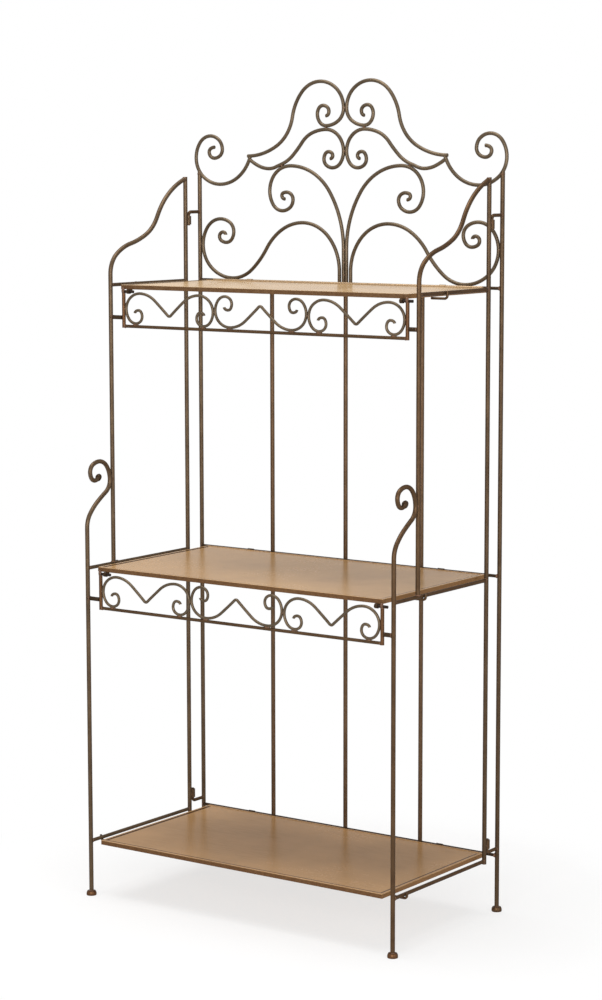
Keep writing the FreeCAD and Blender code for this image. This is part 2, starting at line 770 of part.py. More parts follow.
def make_valance(level):
    """Uprights, bottom rail, hinge pins and scroll wires of one valance."""
    uprights = []
    pins = []
    for side_name, side in SIDES.items():
        x = VALANCE_ENDS[side_name]
        name = f"{level}_valance_{side_name}"
        start = FreeCAD.Vector(x + side * PIN_TAILS[side_name], FRONTS[level], pin_z(level))
        pin = rod(f"{name}_pin", "pin_rod", "pin_length", start, LEFT_TO_RIGHT * -side)
        foot_z = valance_rail_z(level) - size.bar_rod / 2
        base = FreeCAD.Vector(x, FRONTS[level], foot_z)
        upright = rod(f"{name}_upright", "valance_rod", pin_z(level) - foot_z, base, UP)
        uprights.append(cut(f"{name}_upright", upright, pin))
        pins.append(pin)
    keep(group(f"{level}_uprights", uprights), f"{level}_valance_uprights")
    keep(group(f"{level}_pins", pins), f"{level}_valance_pins")
    base = FreeCAD.Vector(VALANCE_ENDS["left"], FRONTS[level], valance_rail_z(level))
    rail = rod(f"{level}_valance_bar", "bar_rod", "frame_width - 2 * valance_side_gap", base,
               LEFT_TO_RIGHT)
    ends = []
    for side_name, x in VALANCE_ENDS.items():
        below = FreeCAD.Vector(x, FRONTS[level], valance_rail_z(level) - size.valance_rod)
        ends.append(rod(f"{level}_valance_{side_name}_end", "valance_rod", "2 * valance_rod", below, UP))
    keep(cut(f"{level}_valance_bar", rail, *ends), f"{level}_valance_rail")
    make_wires(level)


def check_and_write():
    """Stops on any failed object or shape, then writes every sub-part to its own file."""
    doc.recompute()
    for item in doc.Objects:
        if "Invalid" in item.State or "Error" in item.State:
            raise RuntimeError(f"{item.Label} failed: {item.State}")
    for item in nodes:
        if item.Shape.isNull() or not item.Shape.isValid() or not item.Shape.Solids:
            raise RuntimeError(f"{item.Label} has no valid solid")
    os.makedirs("parts", exist_ok=True)
    for item in nodes:
        item.Shape.exportStep(f"parts/{item.Label}.step")


make_back_frame()
for side_key in SIDES:
    make_side_frame(side_key)
for level_key in LEVELS:
    make_shelf(level_key)
for level_key in ("middle", "top"):
    make_valance(level_key)
check_and_write()
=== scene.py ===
"""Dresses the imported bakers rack: bronze rods, tan shelves, dark pins, weld beads and a plain studio."""

import json
import logging
import math
from dataclasses import dataclass
from enum import Enum
from typing import Any, Dict, List, Optional, Sequence, Tuple, Union

import bpy
from mathutils import Euler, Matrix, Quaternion, Vector


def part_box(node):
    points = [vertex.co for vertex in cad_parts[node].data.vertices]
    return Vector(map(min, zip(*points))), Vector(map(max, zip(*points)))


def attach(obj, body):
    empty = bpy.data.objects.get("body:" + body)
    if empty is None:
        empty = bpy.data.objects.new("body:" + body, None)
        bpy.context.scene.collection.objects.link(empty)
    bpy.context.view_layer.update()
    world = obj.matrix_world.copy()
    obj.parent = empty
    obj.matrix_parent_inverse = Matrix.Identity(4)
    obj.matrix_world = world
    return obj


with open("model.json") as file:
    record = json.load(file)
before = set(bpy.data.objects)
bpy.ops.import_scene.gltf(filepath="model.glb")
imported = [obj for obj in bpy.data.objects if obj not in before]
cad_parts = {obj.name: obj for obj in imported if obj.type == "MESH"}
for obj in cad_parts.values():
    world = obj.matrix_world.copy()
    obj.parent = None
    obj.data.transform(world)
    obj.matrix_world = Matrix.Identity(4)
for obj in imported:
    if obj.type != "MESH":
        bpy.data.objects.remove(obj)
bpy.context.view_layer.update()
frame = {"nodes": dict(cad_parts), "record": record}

SEEN_RAYS = ("Is Camera Ray", "Is Glossy Ray", "Is Transmission Ray")
MM = 0.001
Colour = Tuple[float, float, float, float]
Point = Tuple[float, float, float]
Span = Tuple[float, float]
Place = Union[int, str]
WHITE: Colour = (1.0, 1.0, 1.0, 1.0)
log = logging.getLogger("bakers_rack")


def srgb(red: int, green: int, blue: int) -> Colour:
    """A colour written as a paint chart gives it, made linear for the shaders.

    Args:
        red: Red, 0 to 255.
        green: Green, 0 to 255.
        blue: Blue, 0 to 255.

    Returns:
        The linear colour with a full alpha.
    """
    def linear(level: int) -> float:
        """One channel made linear."""
        share = level / 255
        return share / 12.92 if share <= 0.04045 else ((share + 0.055) / 1.055) ** 2.4

    return linear(red), linear(green), linear(blue), 1.0


class Side(Enum):
    """The two ends of the rack, with the sign of their X."""

    LEFT = -1
    RIGHT = 1

    @property
    def label(self) -> str:
        """The end's name in the nodes' names."""
        return self.name.lower()


class Level(Enum):
    """The three shelves, from the floor up."""

    BOTTOM = "bottom"
    MIDDLE = "middle"
    TOP = "top"


class Tone(Enum):
    """The tones of the rods' paint. Some tones are lighter and some darker copies of one paint, which paint
    in light and shade.
    """

    # A lighter, greyer copy of the rod paint for the crest and scroll wires: partly their own greyer tone,
    # partly painted highlight.
    CREST = "crest_paint"
    POST = "rod_paint"
    # Painted light: a lighter, cooler copy of the rod paint for the left end's rods.
    LEFT_POST = "left_rod_paint"
    # Painted shade: a darker copy of the rod paint for the right posts.
    RIGHT_POST = "right_rod_paint"
    # Painted light: a lighter copy of the rod paint for the inner bars, which stand in the trays' shade.
    INNER = "inner_bar_paint"
    # Painted shade: a darker copy of the rod paint for the crossbars, which are seen in shade behind the
    # trays' back edges; stubs, straps, lugs and the legs' tips take it too.
    BAR = "crossbar_paint"
    # Painted shade and sheen: the darker bar copy, with the tan that the top tray shows under its sheen
    # painted on the bar's front half.
    TOP_BAR = "top_crossbar_paint"
    RED = "red_brown_paint"


class Axis(Enum):
    """The rack's own directions."""

    X = (1.0, 0.0, 0.0)
    Y = (0.0, 1.0, 0.0)
    Z = (0.0, 0.0, 1.0)


class Signal:
    """A node's output whose arithmetic adds Math nodes."""

    def __init__(self, bench: "NodeBench", socket: bpy.types.NodeSocket) -> None:
        """Wraps an output socket of a bench's node tree."""
        self.bench = bench
        self.socket = socket

    def math(self, operation: str, first: "Value", second: "Value" = 0.0) -> "Signal":
        """Adds one Math node.

        Args:
            operation: The Math node's operation.
            first: Its first value or link.
            second: Its second value or link.

        Returns:
            The node's result.
        """
        return self.bench.node("ShaderNodeMath", {"operation": operation}, {0: first, 1: second})

    def __add__(self, other: "Value") -> "Signal":
        """Sum."""
        return self.math("ADD", self, other)

    __radd__ = __add__

    def __sub__(self, other: "Value") -> "Signal":
        """Difference."""
        return self.math("SUBTRACT", self, other)

    def __rsub__(self, other: "Value") -> "Signal":
        """Difference with this signal taken away."""
        return self.math("SUBTRACT", other, self)

    def __mul__(self, other: "Value") -> "Signal":
        """Product."""
        return self.math("MULTIPLY", self, other)

    __rmul__ = __mul__

    def __abs__(self) -> "Signal":
        """Size without sign."""
        return self.math("ABSOLUTE", self)

    def least(self, other: "Value") -> "Signal":
        """The smaller of two signals."""
        return self.math("MINIMUM", self, other)

    def most(self, other: "Value") -> "Signal":
        """The larger of two signals."""
        return self.math("MAXIMUM", self, other)

    def mix(self, other: "Signal", share: float) -> "Signal":
        """A share of this signal, and the other for the rest."""
        return self * share + other * (1 - share)

    def rise(self, low: float, high: float) -> "Signal":
        """Smooth step.

        Args:
            low: Where the step starts, at 0.
            high: Where it ends, at 1. Below low, the step falls instead.

        Returns:
            A signal from 0 to 1.
        """
        ends = {"From Min": low, "From Max": high}
        if low > high:
            ends = {"From Min": high, "From Max": low, "To Min": 1.0, "To Max": 0.0}
        settings = {"interpolation_type": "SMOOTHSTEP"}
        return self.bench.node("ShaderNodeMapRange", settings, {"Value": self, **ends})

    def below(self, edge: float, fade: float) -> "Signal":
        """1 below an edge and 0 above it, with a smooth step that reaches fade to each side."""
        return self.rise(edge + fade, edge - fade)


Value = Union[Signal, float, str, Sequence[float]]


class NodeBench:
    """A node tree that is filled node by node."""

    def __init__(self, tree: bpy.types.NodeTree) -> None:
        """Takes over a tree and empties it."""
        self.tree = tree
        tree.nodes.clear()

    def plug(self, socket: bpy.types.NodeSocket, value: Value) -> None:
        """Links a signal to a socket, or sets the socket's own value.

        Args:
            socket: The input socket.
            value: The signal or the value.
        """
        if isinstance(value, Signal):
            self.tree.links.new(value.socket, socket)
        else:
            socket.default_value = value

    def add(self, kind: str, settings: Dict[str, Any], inputs: Dict[Place, Value]) -> bpy.types.Node:
        """Adds any node.

        Args:
            kind: The node's type.
            settings: Its own settings, set before its sockets.
            inputs: Values or links of its sockets, by name or place.

        Returns:
            The node.
        """
        made = self.tree.nodes.new(kind)
        for key, value in settings.items():
            setattr(made, key, value)
        for key, value in inputs.items():
            self.plug(made.inputs[key], value)
        return made

    def node(
        self, kind: str, settings: Dict[str, Any], inputs: Dict[Place, Value], output: Place = 0
    ) -> Signal:
        """Adds any node that has a result.

        Args:
            kind: The node's type.
            settings: Its own settings.
            inputs: Values or links of its sockets.
            output: The socket to give back, by name or place.

        Returns:
            The chosen output.
        """
        return Signal(self, self.add(kind, settings, inputs).outputs[output])

    def seen(self) -> Signal:
        """Tells what is looked at from what is lit.

        Returns:
            1 for rays from the camera, from gloss and through glass, and 0 for the rest.
        """
        seen, *others = [self.node("ShaderNodeLightPath", {}, {}, name) for name in SEEN_RAYS]
        for other in others:
            seen = seen.most(other)
        return seen


class PaintBench(NodeBench):
    """One material's node tree, with a Principled shader that is fed piece by piece.

    The Mix node has more than one Factor, A, B and Result, so these sockets go by their places.
    """

    MIX_SHARE, MIX_FIRST, MIX_SECOND, MIX_RESULT = 0, 6, 7, 2

    def __init__(self, name: str) -> None:
        """Starts an empty material with its shader and output.

        Args:
            name: The material's name.
        """
        self.material = bpy.data.materials.new(name)
        self.material.use_nodes = True
        super().__init__(self.material.node_tree)
        self.shader = self.add("ShaderNodeBsdfPrincipled", {}, {})
        self.output = self.add("ShaderNodeOutputMaterial", {}, {"Surface": self.surface()})

    def surface(self) -> Signal:
        """The Principled shader's result."""
        return Signal(self, self.shader.outputs["BSDF"])

    def place(self) -> Signal:
        """The piece's own Object coordinates."""
        return self.node("ShaderNodeTexCoord", {}, {}, "Object")

    def axis(self, name: str) -> Signal:
        """One of the Object coordinates, X, Y or Z."""
        return self.node("ShaderNodeSeparateXYZ", {}, {"Vector": self.place()}, name)

    def noise(self, scale: float, detail: float = 2.0, stretch: Point = (1.0, 1.0, 1.0)) -> Signal:
        """Cloudy noise on Object coordinates.

        Args:
            scale: Lumps per metre.
            detail: Octaves of finer lumps.
            stretch: Scale along each direction of the rack.

        Returns:
            The noise, about 0.5.
        """
        spot = self.node("ShaderNodeMapping", {}, {"Vector": self.place(), "Scale": stretch})
        return self.node("ShaderNodeTexNoise", {}, {"Vector": spot, "Scale": scale, "Detail": detail})

    def blend(self, share: Value, first: Value, second: Value) -> Signal:
        """Mixes two colours.

        Args:
            share: How much of the second colour.
            first: The first colour.
            second: The second colour.

        Returns:
            The mixed colour.
        """
        sockets = {self.MIX_SHARE: share, self.MIX_FIRST: first, self.MIX_SECOND: second}
        return self.node("ShaderNodeMix", {"data_type": "RGBA"}, sockets, self.MIX_RESULT)

    def bump(self, height: Signal, depth: float) -> Signal:
        """Turns a height into a bent normal.

        Args:
            height: The relief, 0 to 1.
            depth: How deep it is in metres.

        Returns:
            The normal.
        """
        return self.node("ShaderNodeBump", {}, {"Height": height, "Distance": depth, "Strength": 1.0})

    def feed(self, **inputs: Value) -> None:
        """Sets or links the shader's own sockets.

        Args:
            inputs: Values or links by the socket's name, with _ for a space.
        """
        for key, value in inputs.items():
            self.plug(self.shader.inputs[key.replace("_", " ")], value)

    def whiten(self, share: Signal) -> None:
        """Shows plain white to the camera, to gloss and through glass, and lights the surface as before.

        Args:
            share: How much of the white covers the surface.
        """
        white = self.node("ShaderNodeEmission", {}, {"Color": WHITE, "Strength": 1.0})
        mixed = self.node("ShaderNodeMixShader", {}, {0: share * self.seen(), 1: self.surface(), 2: white})
        self.plug(self.output.inputs["Surface"], mixed)


@dataclass(frozen=True)
class RodPaint:
    """Antique bronze paint, dabbed over a darker coat, on bent steel rod, with an optional band of painted
    tray sheen.
    """

    umber: Colour = srgb(71, 54, 39)
    bronze: Colour = srgb(92, 71, 51)
    rubbed: Colour = srgb(134, 105, 73)
    soot: Colour = srgb(53, 40, 30)
    patch_scale: float = 16.0
    patch_detail: float = 3.0
    patch_share: float = 0.75
    dab_scale: float = 120.0
    dab_detail: float = 4.0
    grit_scale: float = 700.0
    grit_share: float = 0.6
    grit_depth: float = 0.01 * MM
    coat_span: Span = (0.20, 0.80)
    rubbed_dabs: Span = (0.60, 0.74)
    rubbed_grit: Span = (0.40, 0.62)
    rubbed_share: float = 0.12
    soot_dabs: Span = (0.40, 0.28)
    soot_share: float = 0.12
    metal: float = 0.45
    patch_metal: float = 0.15
    roughness: float = 0.26
    patch_roughness: float = 0.10
    grit_roughness: float = 0.02
    gloss: float = 0.10
    edge_tint: Colour = (0.16, 0.13, 0.10, 1.0)
    # Painted sheen: the tan that the top tray shows under its sheen, put on the front half of a bar behind
    # the tray's back edge.
    worn: Colour = srgb(178, 152, 121)
    worn_half: float = 0.0
    worn_half_fade: float = 3.0 * MM
    worn_back: float = 187.5 * MM
    worn_back_fade: float = 1.0 * MM
    worn_share: float = 0.85

    def make(self, name: str) -> bpy.types.Material:
        """Builds the paint.

        Args:
            name: The material's name.

        Returns:
            The material.
        """
        bench = PaintBench(name)
        patch = bench.noise(self.patch_scale, self.patch_detail)
        dab = bench.noise(self.dab_scale, self.dab_detail)
        grit = bench.noise(self.grit_scale)
        coat = bench.blend(patch.mix(dab, self.patch_share).rise(*self.coat_span), self.umber, self.bronze)
        rubs = dab.rise(*self.rubbed_dabs) * grit.rise(*self.rubbed_grit)
        coat = bench.blend(rubs * self.rubbed_share, coat, self.rubbed)
        coat = bench.blend(dab.rise(*self.soot_dabs) * self.soot_share, coat, self.soot)
        # Painted sheen: the bar's front half, turned to the tray, takes the tray's sheen-lit tan.
        if self.worn_half:
            along = abs(bench.axis("X")).below(self.worn_half, self.worn_half_fade)
            facing = bench.axis("Y").below(self.worn_back, self.worn_back_fade)
            coat = bench.blend(along * facing * self.worn_share, coat, self.worn)
        bench.feed(
            Base_Color=coat,
            Metallic=self.metal + patch * self.patch_metal,
            Roughness=self.roughness + patch * self.patch_roughness + grit * self.grit_roughness,
            Normal=bench.bump(grit.mix(dab, self.grit_share), self.grit_depth),
            Specular_IOR_Level=self.gloss,
            Specular_Tint=self.edge_tint,
        )
        return bench.material


ROD_PAINTS: Dict[Tone, RodPaint] = {
    # Lighter, greyer copy for the crest: partly its own tone, partly painted highlight.
    Tone.CREST: RodPaint(srgb(80, 69, 56), srgb(106, 92, 75), srgb(148, 130, 106), srgb(57, 48, 39)),
    Tone.POST: RodPaint(),
    # Painted light: lighter, cooler copy for the left end's rods.
    Tone.LEFT_POST: RodPaint(srgb(76, 62, 48), srgb(99, 82, 64), srgb(138, 114, 86), srgb(55, 44, 34)),
    # Painted shade: darker copy for the right posts.
    Tone.RIGHT_POST: RodPaint(srgb(67, 53, 40), srgb(87, 70, 53), srgb(124, 100, 74), srgb(49, 38, 30)),
    # Painted light: lighter copy for the inner bars.
    Tone.INNER: RodPaint(srgb(79, 61, 45), srgb(101, 79, 60), srgb(136, 108, 80), srgb(58, 45, 34)),
    # Painted shade: darker copy for the crossbars behind the trays, also on stubs, straps, lugs and tips.
    Tone.BAR: RodPaint(srgb(54, 42, 31), srgb(70, 55, 41), srgb(100, 79, 56), srgb(40, 31, 24)),
    # Painted shade and sheen: darker bar copy, with the tray's sheen-lit tan on its front half.
    Tone.TOP_BAR: RodPaint(
        srgb(54, 42, 31), srgb(70, 55, 41), srgb(100, 79, 56), srgb(40, 31, 24), worn_half=335 * MM
    ),
    Tone.RED: RodPaint(srgb(78, 54, 37), srgb(101, 72, 49), srgb(138, 103, 70), srgb(56, 39, 27)),
}


@dataclass(frozen=True)
class ShelfPaint:
    """Satin tan paint on a sheet tray, dark in the hem's groove with dirt and painted shade, with a painted
    shade line along the rear edge where set, dark on the apron, rubbed along the rim.
    """

    tan: Colour = srgb(180, 142, 97)
    warm: Colour = srgb(189, 150, 103)
    shade: Colour = srgb(168, 131, 88)
    apron: Colour = srgb(84, 57, 37)
    apron_end: Colour = srgb(138, 102, 66)
    # Dirt and painted shade in the hem's groove, at the step of the raised hem.
    groove: Colour = srgb(70, 46, 28)
    rubbed: Colour = srgb(200, 168, 132)
    cloud_scale: float = 5.0
    cloud_detail: float = 3.0
    cloud_span: Span = (0.34, 0.66)
    brush_stretch: Point = (0.12, 1.0, 1.0)
    brush_span: Span = (0.35, 0.65)
    brush_share: float = 0.6
    fleck_scale: float = 240.0
    fleck_detail: float = 3.0
    fleck_span: Span = (0.66, 0.76)
    fleck_share: float = 0.08
    peel_scale: float = 620.0
    peel_detail: float = 1.0
    peel_share: float = 0.7
    peel_depth: float = 0.008 * MM
    groove_inset: float = 8.1 * MM
    groove_half: Span = (3.2 * MM, 2.2 * MM)
    groove_rear: Span = (11.0 * MM, 13.0 * MM)
    groove_share: float = 0.92
    # Painted shade: a dark line along the tray's rear edge, where the crossbar behind it casts shade.
    rear_line: float = 3.0 * MM
    rear_fade: float = 0.5 * MM
    rim_inset: Span = (1.2 * MM, 0.2 * MM)
    rim_depth: Span = (1.0 * MM, 0.2 * MM)
    rim_flecks: Span = (0.40, 0.55)
    rim_share: float = 0.5
    face_inset: Span = (0.4 * MM, 0.2 * MM)
    face_depth: Span = (0.3 * MM, 0.9 * MM)
    wall_inset: Span = (2.6 * MM, 1.6 * MM)
    wall_depth: Span = (1.0 * MM, 1.7 * MM)
    apron_share: float = 0.75
    apron_flecks: float = 0.3
    end_inset: Span = (0.6 * MM, 0.2 * MM)
    end_share: float = 0.85
    roughness: float = 0.20
    cloud_roughness: float = 0.07
    fleck_roughness: float = 0.05
    gloss: float = 0.025

    def make(self, name: str, low: Vector, high: Vector) -> bpy.types.Material:
        """Builds the paint for one tray.

        Args:
            name: The material's name.
            low: The tray's lowest corner.
            high: The tray's highest corner.

        Returns:
            The material.
        """
        bench = PaintBench(name)
        cloud = bench.noise(self.cloud_scale, self.cloud_detail)
        fleck = bench.noise(self.fleck_scale, self.fleck_detail)
        peel = bench.noise(self.peel_scale, self.peel_detail)
        coat = self._sheet_coat(bench, cloud, fleck)
        bench.feed(
            Base_Color=self._edge_coat(bench, coat, fleck, low, high),
            Roughness=self.roughness + cloud * self.cloud_roughness + fleck * self.fleck_roughness,
            Normal=bench.bump(peel.mix(cloud, self.peel_share), self.peel_depth),
            Specular_IOR_Level=self.gloss,
        )
        return bench.material

    def _sheet_coat(self, bench: PaintBench, cloud: Signal, fleck: Signal) -> Signal:
        """Colours the flat sheet with clouds, brush strokes and flecks.

        Args:
            bench: The tray's material.
            cloud: Broad noise.
            fleck: Fine noise.

        Returns:
            The colour.
        """
        brushed = bench.noise(self.fleck_scale, stretch=self.brush_stretch)
        coat = bench.blend(cloud.rise(*self.cloud_span), self.shade, self.warm)
        coat = bench.blend(brushed.rise(*self.brush_span) * self.brush_share, coat, self.tan)
        return bench.blend(fleck.rise(*self.fleck_span) * self.fleck_share, coat, self.rubbed)

    def _edge_coat(self, bench: PaintBench, coat: Signal, fleck: Signal, low: Vector, high: Vector) -> Signal:
        """Adds the hem's groove with its dirt and painted shade, the painted shade line along the rear edge,
        the rubbed rim and the dark apron with its lighter ends.

        Args:
            bench: The tray's material.
            coat: Colour of the flat sheet.
            fleck: Fine noise.
            low: The tray's lowest corner.
            high: The tray's highest corner.

        Returns:
            The colour.
        """
        centre, half = (low + high) / 2, (high - low) / 2
        inset_x = half.x - abs(bench.axis("X") - centre.x)
        inset_y = half.y - abs(bench.axis("Y") - centre.y)
        inset = inset_x.least(inset_y)
        depth = high.z - bench.axis("Z")
        rear = high.y - bench.axis("Y")
        # Dirt and painted shade along the hem's groove, kept off the rear edge.
        groove = abs(inset - self.groove_inset).rise(*self.groove_half) * rear.rise(*self.groove_rear)
        # Painted shade: a dark line along the rear edge, joined to the groove's mark.
        if self.rear_line:
            groove = groove.most(rear.below(self.rear_line, self.rear_fade))
        coat = bench.blend(groove * self.groove_share, coat, self.groove)
        rim = inset.rise(*self.rim_inset) * depth.rise(*self.rim_depth) * fleck.rise(*self.rim_flecks)
        coat = bench.blend(rim * self.rim_share, coat, self.rubbed)
        face = depth.rise(*self.face_depth) * inset.rise(*self.face_inset)
        side = face.most(depth.rise(*self.wall_depth) * inset.rise(*self.wall_inset))
        coat = bench.blend(side * (self.apron_share + fleck * self.apron_flecks), coat, self.apron)
        return bench.blend(side * inset_x.rise(*self.end_inset) * self.end_share, coat, self.apron_end)


# Lit and shaded copies of the tray paint: the bottom tray's darker, browner paint is painted shade, and the
# top tray's paler, greyer paint is painted sheen.
LEVEL_LIT_SHELF_PAINTS: Dict[Level, ShelfPaint] = {
    Level.BOTTOM: ShelfPaint(srgb(174, 136, 92), srgb(183, 143, 98), srgb(162, 125, 83)),
    Level.MIDDLE: ShelfPaint(),
    Level.TOP: ShelfPaint(srgb(173, 143, 105), srgb(182, 152, 111), srgb(161, 132, 96), rear_line=0.0),
}


@dataclass(frozen=True)
class DarkHardware:
    """Blackened steel of the valances' hinge pins, with brown paint rubbed thin on it."""

    black: Colour = srgb(34, 26, 21)
    brown: Colour = srgb(62, 46, 35)
    patch_scale: float = 150.0
    patch_detail: float = 3.0
    patch_span: Span = (0.5, 0.68)
    patch_share: float = 0.7
    grit_scale: float = 800.0
    grit_depth: float = 0.08 * MM
    roughness: float = 0.40
    grit_roughness: float = 0.2
    gloss: float = 0.10

    def make(self, name: str) -> bpy.types.Material:
        """Builds the finish.

        Args:
            name: The material's name.

        Returns:
            The material.
        """
        bench = PaintBench(name)
        patch = bench.noise(self.patch_scale, self.patch_detail)
        grit = bench.noise(self.grit_scale)
        bench.feed(
            Base_Color=bench.blend(patch.rise(*self.patch_span) * self.patch_share, self.black, self.brown),
            Roughness=self.roughness + grit * self.grit_roughness,
            Normal=bench.bump(grit, self.grit_depth),
            Specular_IOR_Level=self.gloss,
        )
        return bench.material


@dataclass(frozen=True)
class WeldPaint:
    """Reddish brown paint pooled over the weld beads."""

    red_brown: Colour = srgb(112, 75, 48)
    dark: Colour = srgb(76, 53, 37)
    lump_scale: float = 420.0
    lump_detail: float = 3.0
    lump_span: Span = (0.40, 0.62)
    lump_depth: float = 0.2 * MM
    roughness: float = 0.36
    lump_roughness: float = 0.2
    gloss: float = 0.4

    def make(self, name: str) -> bpy.types.Material:
        """Builds the finish.

        Args:
            name: The material's name.

        Returns:
            The material.
        """
        bench = PaintBench(name)
        lump = bench.noise(self.lump_scale, self.lump_detail)
        bench.feed(
            Base_Color=bench.blend(lump.rise(*self.lump_span), self.dark, self.red_brown),
            Roughness=self.roughness + lump * self.lump_roughness,
            Normal=bench.bump(lump, self.lump_depth),
            Specular_IOR_Level=self.gloss,
        )
        return bench.material


@dataclass(frozen=True)
class Weld:
    """One bead: a lump about an axis, with its radius and half its length."""

    spot: Point
    axis: Point
    girth: float
    reach: float


COLLAR_STAND = 0.9 * MM
COLLAR_REACH = 1.8 * MM
TACK_GIRTH = 0.38
TACK_REACH = 0.46


def collar(spot: Point, axis: Axis, rod: float) -> Weld:
    """Bead round the end of a rod that butts on another.

    Args:
        spot: Where the rod's centre line meets the other rod's surface.
        axis: The butting rod's direction.
        rod: Its diameter.

    Returns:
        The bead.
    """
    return Weld(spot, axis.value, rod / 2 + COLLAR_STAND, COLLAR_REACH)


def tack(spot: Point, axis: Axis, rod: float) -> Weld:
    """Bead in the valleys between two rods that touch along their sides.

    Args:
        spot: Where the rods touch.
        axis: The direction from one valley to the other.
        rod: The thinner rod's diameter.

    Returns:
        The bead.
    """
    return Weld(spot, axis.value, TACK_GIRTH * rod, TACK_REACH * rod)


class BeadTree(NodeBench):
    """Geometry Nodes that set a lumpy bead on every vertex of a mesh of weld spots.

    The Random Value node has more than one Min, Max and Value, so these sockets go by their places.
    """

    SIZE, AXIS = "bead_size", "bead_axis"
    RANDOM_LOW, RANDOM_HIGH, RANDOM_RESULT = 2, 3, 1
    ROUNDNESS = 3
    LUMP_SCALE = 2.2
    LUMP_DETAIL = 1.0
    LUMP_LEVEL = 0.5
    GROWTH: Span = (0.92, 1.08)

    def __init__(self, paint: bpy.types.Material, lump: float = 0.16, seed: int = 7) -> None:
        """Builds the tree.

        Args:
            paint: The beads' material.
            lump: Height of the lumps, as a share of a bead's radius.
            seed: Seed of the beads' turns and sizes.
        """
        super().__init__(bpy.data.node_groups.new("weld_beads", "GeometryNodeTree"))
        self.inputs: Dict[str, str] = {}
        self.values = {"Lump": lump, "Seed": seed, "Paint": paint}
        face = self.tree.interface
        face.new_socket("Spots", in_out="INPUT", socket_type="NodeSocketGeometry")
        kinds = {"Lump": "NodeSocketFloat", "Seed": "NodeSocketInt", "Paint": "NodeSocketMaterial"}
        for name, kind in kinds.items():
            self.inputs[name] = face.new_socket(name, in_out="INPUT", socket_type=kind).identifier
        face.new_socket("Beads", in_out="OUTPUT", socket_type="NodeSocketGeometry")
        self._wire()

    def _given(self, name: str) -> Signal:
        """One of the tree's own inputs."""
        return self.node("NodeGroupInput", {}, {}, name)

    def _stored(self, name: str) -> Signal:
        """A vector that the weld spots carry."""
        return self.node("GeometryNodeInputNamedAttribute", {"data_type": "FLOAT_VECTOR"}, {"Name": name})

    def _random(self, low: float, high: float) -> Signal:
        """A seeded random number for each bead."""
        sockets = {self.RANDOM_LOW: low, self.RANDOM_HIGH: high, "Seed": self._given("Seed")}
        return self.node("FunctionNodeRandomValue", {"data_type": "FLOAT"}, sockets, self.RANDOM_RESULT)

    def _scaled(self, vector: Signal, size: Signal) -> Signal:
        """A vector made longer or shorter."""
        return self.node("ShaderNodeVectorMath", {"operation": "SCALE"}, {0: vector, "Scale": size})

    def _ball(self) -> Signal:
        """Makes a ball of radius 1 with a lumpy, smooth skin.

        Returns:
            The ball's mesh.
        """
        ball = self.node("GeometryNodeMeshIcoSphere", {}, {"Radius": 1.0, "Subdivisions": self.ROUNDNESS})
        lumps = self.node("ShaderNodeTexNoise", {}, {"Scale": self.LUMP_SCALE, "Detail": self.LUMP_DETAIL})
        height = (lumps - self.LUMP_LEVEL) * self._given("Lump")
        push = self._scaled(self.node("GeometryNodeInputNormal", {}, {}), height)
        lumpy = self.node("GeometryNodeSetPosition", {}, {"Geometry": ball, "Offset": push})
        return self.node("GeometryNodeSetShadeSmooth", {}, {"Geometry": lumpy})

    def _turn(self) -> Signal:
        """Lays each bead along its axis and spins it about that.

        Returns:
            The beads' rotations.
        """
        along = {"Vector": self._stored(self.AXIS)}
        laid = self.node("FunctionNodeAlignRotationToVector", {"axis": "Z"}, along)
        about = {"Axis": Axis.Z.value, "Angle": self._random(0.0, 2 * math.pi)}
        spin = self.node("FunctionNodeAxisAngleToRotation", {}, about)
        both = {"Rotation": laid, "Rotate By": spin}
        return self.node("FunctionNodeRotateRotation", {"rotation_space": "LOCAL"}, both)

    def _wire(self) -> None:
        """Sets a ball on each spot, turned and sized, then makes the beads real and paints them."""
        sockets = {
            "Points": self._given("Spots"),
            "Instance": self._ball(),
            "Rotation": self._turn(),
            "Scale": self._scaled(self._stored(self.SIZE), self._random(*self.GROWTH)),
        }
        beads = self.node("GeometryNodeInstanceOnPoints", {}, sockets)
        real = self.node("GeometryNodeRealizeInstances", {}, {"Geometry": beads})
        finish = {"Geometry": real, "Material": self._given("Paint")}
        self.add("NodeGroupOutput", {}, {"Beads": self.node("GeometryNodeSetMaterial", {}, finish)})

    def run(
        self, name: str, body: str, welds: Sequence[Weld], paint: Optional[bpy.types.Material] = None
    ) -> None:
        """Makes the beads of one body as one plain mesh that rides on it.

        Args:
            name: The piece's name.
            body: The body that carries the beads.
            welds: The beads.
            paint: Another finish than the tree's own.
        """
        mesh = bpy.data.meshes.new(f"{name}_spots")
        mesh.from_pydata([weld.spot for weld in welds], [], [])
        sizes = mesh.attributes.new(self.SIZE, "FLOAT_VECTOR", "POINT")
        axes = mesh.attributes.new(self.AXIS, "FLOAT_VECTOR", "POINT")
        for index, weld in enumerate(welds):
            sizes.data[index].vector = (weld.girth, weld.girth, weld.reach)
            axes.data[index].vector = weld.axis
        piece = bpy.data.objects.new(name, mesh)
        bpy.context.scene.collection.objects.link(piece)
        modifier = piece.modifiers.new("beads", "NODES")
        modifier.node_group = self.tree
        values = {**self.values, "Paint": paint} if paint else self.values
        for label, value in values.items():
            modifier[self.inputs[label]] = value
        graph = bpy.context.evaluated_depsgraph_get()
        solid = bpy.data.meshes.new_from_object(piece.evaluated_get(graph), depsgraph=graph)
        piece.modifiers.clear()
        piece.data = solid
        bpy.data.meshes.remove(mesh)
        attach(piece, body)
        log.info("%s: %d beads on %s", name, len(welds), body)


@dataclass(frozen=True)
class Paints:
    """The finished materials that the sub-assemblies share."""

    rods: Dict[Tone, bpy.types.Material]
    hardware: bpy.types.Material
    beads: BeadTree


